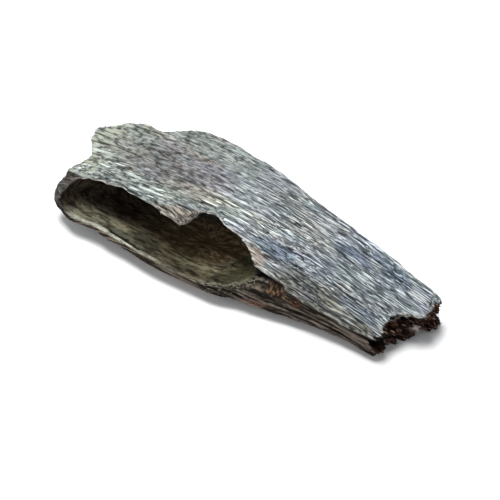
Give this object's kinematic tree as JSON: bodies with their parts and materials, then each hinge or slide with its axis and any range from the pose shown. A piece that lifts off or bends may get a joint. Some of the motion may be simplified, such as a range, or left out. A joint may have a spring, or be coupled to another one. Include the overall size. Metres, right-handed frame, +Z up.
{
  "type": "agarwood piece",
  "caption": "Hollowed chip of dark resinous agarwood with a thin lip, a torn flake, a ragged broken end and a pared underside to rest on.",
  "frame": {"origin": "middle of the chip's footprint, on the surface it rests on", "axes": "+X along the grain towards the broken end, +Y away from the mouth of the hollow, +Z up"},
  "size_m": [0.0852, 0.0302, 0.0188],
  "materials": {
    "agarwood": "bare weathered wood, matt, grey, with pale flecks and dark furrows along the grain"
  },
  "bodies": {
    "root": {"agarwood_piece": "agarwood"}
  },
  "joints": []
}
